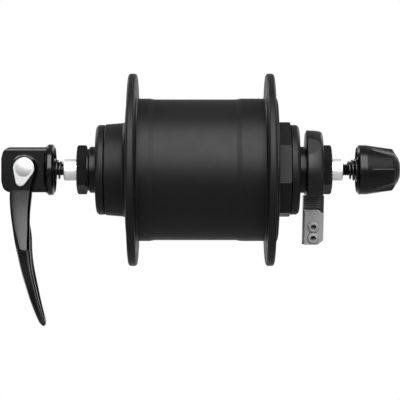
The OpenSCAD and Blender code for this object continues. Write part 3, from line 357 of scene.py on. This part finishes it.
# quick-release lever, in mm and degrees: t runs down from its pivot, and a pair of numbers for a change is
# where it starts and how long it runs
lever = {
    "pivot": -70.2, "rise": 0.7, "length": 61.5, "near": -10.9, "boss": 5.2, "sharp": 28,
    "rows": {"boss": 30, "bossTurn": (0.03, 0.5), "blade": 170, "bladeTurn": (0.02, 0.985)},
    "line": {
        "set": 0.25, "setSpan": (0, 9), "slope": 0.1425, "bow": 0.0043,
        "bump": 0.38, "bumpRise": (12, 14), "bumpFall": (28, 14), "swing": 0.33, "swingSpan": (33, 20),
    },
    "width": {
        "neck": 4.3, "neckSpan": (0, 9), "taperTop": 0.078, "topSpan": (10.4, 20.6),
        "taperEnd": 0.058, "endStart": 31, "tip": 2.5, "tipLeast": 0.02, "bossLeast": 0.05,
    },
    "depth": {
        "far": -6.9, "paddle": 7.0, "nearSpan": (32, 16), "farSpan": (16, 12), "tail": 3.4, "tailStart": 0.6,
        "facetStart": 7.8, "facetEnd": 31.3, "leanTop": 3.5, "leanEnd": 10, "swellSpan": (31.3, 16),
        "nose": 5.0, "noseShare": 0.8,
    },
    "section": {
        "shutSpan": (30.7, 1.6), "turnSpan": (27.3, 8), "edge": 0.9, "edgeMore": 0.65, "edgeSpan": (22, 9),
        "edgeFull": 4, "edgeLeast": 0.2, "ridge": 0.45, "ridgeFlat": 0.12, "lead": 0.3, "leadSpan": (20, 11),
        "lip": 1.8, "lipLeast": 0.02, "lipFace": 0.28, "lipShare": 0.1, "dropLeast": 0.05, "dropShare": 0.25,
        "side": 2.6, "sideShare": 0.3, "sideFace": 0.65, "sideFull": 2, "foldShare": 0.4,
        "rim": 1.3, "rimShare": 0.2, "hollow": 1.1, "hollowStart": (17, 8), "hollowEnd": (58, 3),
        "hollowFull": 2, "hollowSlope": 0.5, "step": 0.75, "stepStart": (14, 6), "stepEnd": (30, 18),
        "rounds": (0.15, 0.15, 0.15, 0.5, 0.3, 0.5, 0.5, 0.3, 0.8, 1.2, 0.6, 0.4), "roundFull": 3,
        "blunt": 1.5, "bluntSpan": (52, 8),
    },
}


def leverRows():
    # heights follow a cosine: down the upper half of the boss, then down the blade to its tip
    size = lever["rows"]
    bossTurn = np.linspace(*size["bossTurn"], size["boss"]) * halfTurn
    bladeTurn = np.linspace(*size["bladeTurn"], size["blade"]) * halfTurn
    bladePart = (lever["length"] + lever["rise"]) * (1 - np.cos(bladeTurn)) / 2
    return np.concatenate([-lever["boss"] * np.cos(bossTurn), bladePart])


def leverMiddle(t, swing):
    # the middle line slopes one way and bows the other, with a set at the neck, a low bump and a swung end
    size = lever["line"]
    middle = -size["set"] * ease(t, size["setSpan"]) - size["slope"] * t + size["bow"] * t ** 2
    bump = size["bump"] * ease(t, size["bumpRise"]) * (1 - ease(t, size["bumpFall"]))
    return np.where(t < 0, 0, middle) + bump - swing


def leverHalf(down, t, swing):
    # half the width: a circle round the pivot, then a neck that tapers in two slopes and ends in a round tip
    size = lever["width"]
    boss = lever["boss"]
    topStart, topLength = size["topSpan"]
    body = boss - (boss - size["neck"]) * ease(down, size["neckSpan"]) + swing
    body = body - size["taperTop"] * np.clip(t - topStart, 0, topLength)
    body = body - size["taperEnd"] * np.maximum(t - size["endStart"], 0)
    tipPart = np.maximum(size["tip"] - (lever["length"] - t), 0) / size["tip"]
    end = np.sqrt(np.maximum(1 - tipPart ** 3, size["tipLeast"]))
    circle = np.sqrt(np.maximum(boss ** 2 - down ** 2, size["bossLeast"]))
    return np.where(down < 0, circle, body * end)


def leverFaces(t):
    # near and far faces: the near one swells along the facet, both spread to a paddle and draw in to the nose
    size = lever["depth"]
    length, nearTop = lever["length"], lever["near"]
    tail = np.maximum(t - size["tailStart"] * length, 0) / ((1 - size["tailStart"]) * length)
    run = size["facetEnd"] - size["facetStart"]
    along = np.clip(t - size["facetStart"], 0, run)
    leanTop, leanEnd = np.tan(np.radians([size["leanTop"], size["leanEnd"]]))
    swell = leanTop * along + (leanEnd - leanTop) * along ** 2 / (2 * run)
    near = nearTop + (-size["paddle"] - nearTop) * ease(t, size["nearSpan"]) + size["tail"] * tail ** 2
    near = near - swell * (1 - ease(t, size["swellSpan"]))
    far = size["far"] + (size["paddle"] - size["far"]) * ease(t, size["farSpan"]) - size["tail"] * tail ** 2
    nosePart = np.clip((t - length + size["nose"]) / size["nose"], 0, size["noseShare"])
    point = size["nose"] * (1 - np.sqrt(1 - nosePart ** 2))
    return near + point, far - point


def leverOutline(t, half, near, far):
    # twelve corners round each section: a near facet that closes to a ridge, a lip, a hollow right side and a
    # bevelled left side, all smaller where the section is narrow
    size = lever["section"]
    deep = far - near
    shut = ease(t, size["shutSpan"])
    turnIn = ease(t, size["turnSpan"])
    edge = size["edge"] + size["edgeMore"] * ease(t, size["edgeSpan"])
    edge = edge * np.minimum(half / size["edgeFull"] + size["edgeLeast"], 1)
    flat = (half - edge) * (1 - shut) + size["ridgeFlat"] * half * shut
    crest = size["ridge"] * half * shut + size["lead"] * ease(t, size["leadSpan"]) * (1 - shut)
    lip = np.minimum(size["lip"] * shut + size["lipLeast"], deep * size["lipShare"])
    lipOut = crest + flat + size["lipFace"] * lip
    rimNear = near + lip + np.clip(half - lipOut, size["dropLeast"], deep * size["dropShare"])
    rim = np.minimum(size["rim"], deep * size["rimShare"])
    hollow = size["hollow"] * ease(t, size["hollowStart"]) * (1 - ease(t, size["hollowEnd"]))
    hollow = hollow * np.minimum(half / size["hollowFull"], 1)
    slope = size["hollowSlope"]
    halfFar = half - size["step"] * ease(t, size["stepStart"]) * (1 - ease(t, size["stepEnd"]))
    side = np.minimum(edge + size["side"] * turnIn, deep * size["sideShare"])
    inset = edge / 2 * (1 - turnIn) + size["sideFace"] * np.minimum(half / size["sideFull"], 1) * turnIn
    fold = edge / 2 * (1 - turnIn) + size["foldShare"] * side * turnIn
    across = [crest - flat, crest + flat, lipOut, half, half, half - hollow,
              halfFar - hollow, halfFar, halfFar, -half, -half, inset - half]
    depth = [near, near, near + lip, rimNear, rimNear + rim, rimNear + rim + slope,
             far - rim - slope, far - rim, far, far, near + side, near + fold]
    radii = np.array(size["rounds"]) * np.minimum(half / size["roundFull"], 1)[:, None]
    radii = radii + size["blunt"] * ease(t, size["bluntSpan"])[:, None]
    radii[:, -2:] += size["sideFace"] * turnIn[:, None]
    return rounded(np.stack([np.stack(across, 1), np.stack(depth, 1)], -1), radii)


def leverBlade():
    # sections across the blade, each moved to its place on the middle line and to its height
    down = leverRows()
    t = down - lever["rise"]
    swing = lever["line"]["swing"] * ease(t, lever["line"]["swingSpan"])
    outline = leverOutline(t, leverHalf(down, t, swing), *leverFaces(t))
    place = np.stack([lever["pivot"] + leverMiddle(t, swing), 0 * t], -1)[:, None]
    height = np.broadcast_to(-t[:, None, None], (*outline.shape[:2], 1))
    grid = np.concatenate([outline + place, height], -1)
    blade = solid("leverBlade", capped(closing(grid)), "glossBlack", lever["sharp"])
    return stands(blade, "lever", "black_gloss", "qr_lever")


leverBlade()

# bright teardrop cap on the lever's pivot, with a low round dome, in mm and degrees
teardrop = {
    "big": 4.1, "tip": 1.95, "reach": 5.3, "turn": 13.5, "thick": 0.22, "dome": 3.3, "rise": 0.26,
    "edge": 0.15, "columns": 144, "rings": 24, "rollRings": 6,
}


def teardropEdge(angle):
    # distance to the edge at each angle: the big circle above, then its tangents, then the tip's circle
    big, tip, reach = teardrop["big"], teardrop["tip"], teardrop["reach"]
    lean = np.arcsin((big - tip) / reach)
    down = np.abs((angle - 1.5 * halfTurn + halfTurn) % fullTurn - halfTurn)  # angle from straight down
    tangent = big / np.sin(down + lean)
    tipEdge = reach * np.cos(down) + np.sqrt(np.maximum(tip ** 2 - (reach * np.sin(down)) ** 2, 0))
    turnTip = np.arctan2(tip * np.cos(lean), reach + tip * np.sin(lean))
    return np.where(down > halfTurn / 2 - lean, big, np.where(down > turnTip, tangent, tipEdge))


def pivotCap():
    # rings from the middle out to a teardrop line: the dome is a bowl upside down, and the rim rolls over
    size = teardrop
    angle = np.linspace(0, fullTurn, size["columns"] + 1)
    edge = teardropEdge(angle)[None, :]
    flat = edge - size["edge"]
    inner = flat * np.linspace(0, 1, size["rings"])[:, None]
    dome = size["rise"] * np.clip(1 - (inner / size["dome"]) ** 2, 0, 1)
    roll = np.linspace(0, halfTurn / 2, size["rollRings"])[1:, None]
    outer = flat + size["edge"] * np.sin(roll)
    reach = np.concatenate([inner, outer, edge, 0 * edge])
    rolled = size["thick"] - size["edge"] * (1 - np.cos(roll)) + 0 * outer
    level = np.concatenate([size["thick"] + dome, rolled, 0 * edge, 0 * edge])
    turned = angle[None, :] + np.radians(-size["turn"])
    across = lever["pivot"] + reach * np.cos(turned)
    grid = np.stack([across, lever["near"] - level, lever["rise"] + reach * np.sin(turned)], -1)
    return stands(solid("pivotCap", grid, "silverTrim"), "lever", "silver_trim", "lever_cap")


pivotCap()
print("lever and cap formed")

# terminal body beside the right locknut, in mm and degrees
# faceLeast is the least cosine at which a flat counts
terminal = {
    "left": 39.9, "right": 46.4, "seat": 45.3, "radius": 15.7, "fall": 0.75, "bore": 4.55, "recess": 9.85,
    "flat": 15.15, "flats": 6, "turn": 53, "under": 10.0, "faceLeast": 0.3, "noFlat": 99,
    "edge": 0.5, "roll": 1.0, "columns": 480, "rollRows": 7, "midRows": 14, "sharp": 30,
}


def flatReach(distance, facing):
    # how far a flat lets the body reach: its own distance, longer as the direction turns away from it
    least = terminal["faceLeast"]
    return np.where(facing > least, distance / np.maximum(facing, least), terminal["noFlat"])


def terminalShell():
    # radius about the axle: a body that narrows to the right, cut by six flats and by a level underside
    size = terminal
    left, right, edge, roll = size["left"], size["right"], size["edge"], size["roll"]
    angle = np.linspace(0, fullTurn, size["columns"] + 1)
    bend = np.linspace(0, halfTurn / 2, size["rollRows"])
    between = np.linspace(left + edge, right - roll, size["midRows"] + 2)[1:-1]
    x = np.concatenate([left + edge * (1 - np.cos(bend)), between, right - roll * (1 - np.sin(bend))])
    inset = np.concatenate([edge * (1 - np.sin(bend)), 0 * between, roll * (1 - np.cos(bend))])
    body = size["radius"] - size["fall"] * ((x - left) / (right - left)) ** 2
    turns = np.radians(size["turn"] + 360 / size["flats"] * np.arange(size["flats"]))
    flats = flatReach(size["flat"], np.cos(angle[:, None] - turns)).min(1)
    under = flatReach(size["under"], -np.cos(angle))
    outer = np.minimum(body[:, None], np.minimum(flats, under)[None, :]) - inset[:, None]
    # then the recess for the nut and the bore, from the right face back to the left one
    insideX = np.array([right, size["seat"], size["seat"], left])
    insideRadius = np.array([size["recess"], size["recess"], size["bore"], size["bore"]])
    rows = np.concatenate([[left], x, insideX])[:, None] + 0 * angle
    radius = np.concatenate([size["bore"] + 0 * angle[None, :], outer, insideRadius[:, None] + 0 * angle])
    grid = np.stack([rows, -radius * np.sin(angle), radius * np.cos(angle)], -1)
    shell = solid("terminalShell", grid, "mouldBlack", size["sharp"])
    return stands(shell, "axle_set", "black_plastic", "terminal_body")


terminalShell()
print("terminal formed")

# camera, paper and light, as the photograph has them, in metres; the sensor is in mm
studio = {
    "distance": 0.70, "left": -0.00169, "pixels": 400, "pixelsPerMm": 2.535, "axlePixel": 169.8,
    "sensor": 36.0, "clipStart": 0.01, "sky": 0.32, "paperRough": 0.9,
    "floor": -0.7, "floorHalf": 3.0, "floorFront": -2.0, "floorTone": 0.4,
    "back": 1.2, "screenHalf": 1.1, "screenTop": 0.5, "backTone": 0.8,
}
scene = bpy.context.scene
scene.view_settings.view_transform = "Standard"
camera = bpy.data.objects.new("camera", bpy.data.cameras.new("camera"))
scene.collection.objects.link(camera)
camera.location = (studio["left"], -studio["distance"], 0)
camera.rotation_euler = (halfTurn / 2, 0, 0)
camera.data.sensor_width = studio["sensor"]
camera.data.lens = studio["sensor"] * studio["distance"] / (studio["pixels"] / studio["pixelsPerMm"] * mm)
camera.data.shift_y = (studio["axlePixel"] - studio["pixels"] / 2) / studio["pixels"]
camera.data.clip_start = studio["clipStart"]
scene.camera = camera

softBoxes = {
    "keyBox": {"place": (0.05, -0.78, 0.63), "size": (0.66, 1.2), "watts": 22},
    "leftBox": {"place": (-0.75, -0.75, -0.1), "size": (0.3, 0.3), "watts": 1.5},
    "rightBox": {"place": (0.8, -0.6, -0.15), "size": (0.4, 0.4), "watts": 1.2},
    "backLeftBox": {"place": (-0.65, 0.6, 0.68), "size": (0.5, 0.5), "watts": 4},
    "backRightBox": {"place": (0.65, 0.6, 0.68), "size": (0.5, 0.5), "watts": 4},
}


def softBox(name, place, size, watts):
    # a lamp of size (width, height) metres that faces the hub
    lamp = bpy.data.objects.new(name, bpy.data.lights.new(name, "AREA"))
    scene.collection.objects.link(lamp)
    lamp.location = place
    lamp.rotation_euler = (-Vector(place)).to_track_quat("-Z", "Y").to_euler()
    lamp.data.shape = "RECTANGLE"
    lamp.data.size, lamp.data.size_y = size
    lamp.data.energy = watts


for name, box in softBoxes.items():
    softBox(name, **box)


def studioSky(level):
    # white to the camera, an even grey of that level as light
    world = bpy.data.worlds.new("studio")
    scene.world = world
    world.use_nodes = True
    tree = world.node_tree
    rays = tree.nodes.new("ShaderNodeLightPath")
    mix = tree.nodes.new("ShaderNodeMix")
    mix.data_type = "RGBA"
    mix.inputs[6].default_value = (level, level, level, 1)
    mix.inputs[7].default_value = (1, 1, 1, 1)
    tree.links.new(rays.outputs["Is Camera Ray"], mix.inputs[0])
    tree.links.new(mix.outputs[2], tree.nodes["Background"].inputs[0])


studioSky(studio["sky"])


def paperFinish(name, tone, *rays):
    # plain white to those kinds of ray, pale paper that takes shadows to every other
    finish = Finish(name, **{"Base Color": (tone, tone, tone), "Roughness": studio["paperRough"]})
    ray = finish.node("LightPath").socket.node.outputs
    share = finish.node("Clamp", sockets={"Value": sum(Value(finish, ray[kind]) for kind in rays)})
    paper = Value(finish, finish.shader.outputs[0])
    white = finish.node("Emission", sockets={"Color": (1.0, 1.0, 1.0), "Strength": 1.0})
    mixed = finish.node("MixShader", sockets={"Fac": share, 1: paper, 2: white})
    finish.tree.links.new(mixed.socket, finish.output.inputs[0])
    return finish.material


def sheet(name, corners):  # flat rectangle from two opposite corners, in metres
    (x0, y0, z0), (x1, y1, z1) = corners
    grid = [[(x0, y0, z0), (x0, y1, z1)], [(x1, y0, z0), (x1, y1, z1)]]
    return solid(name, np.array(grid) / mm, name)


floor, back = studio["floor"], studio["back"]
wide, screen = studio["floorHalf"], studio["screenHalf"]
mirrorRays = ("Is Glossy Ray", "Is Transmission Ray")
finishes["floorPaper"] = paperFinish("floorPaper", studio["floorTone"], "Is Camera Ray")
finishes["backPaper"] = paperFinish("backPaper", studio["backTone"], "Is Camera Ray", *mirrorRays)
sheet("floorPaper", ((-wide, studio["floorFront"], floor), (wide, back, floor)))
sheet("backPaper", ((-screen, back, floor), (screen, back, studio["screenTop"])))
print("studio set up")
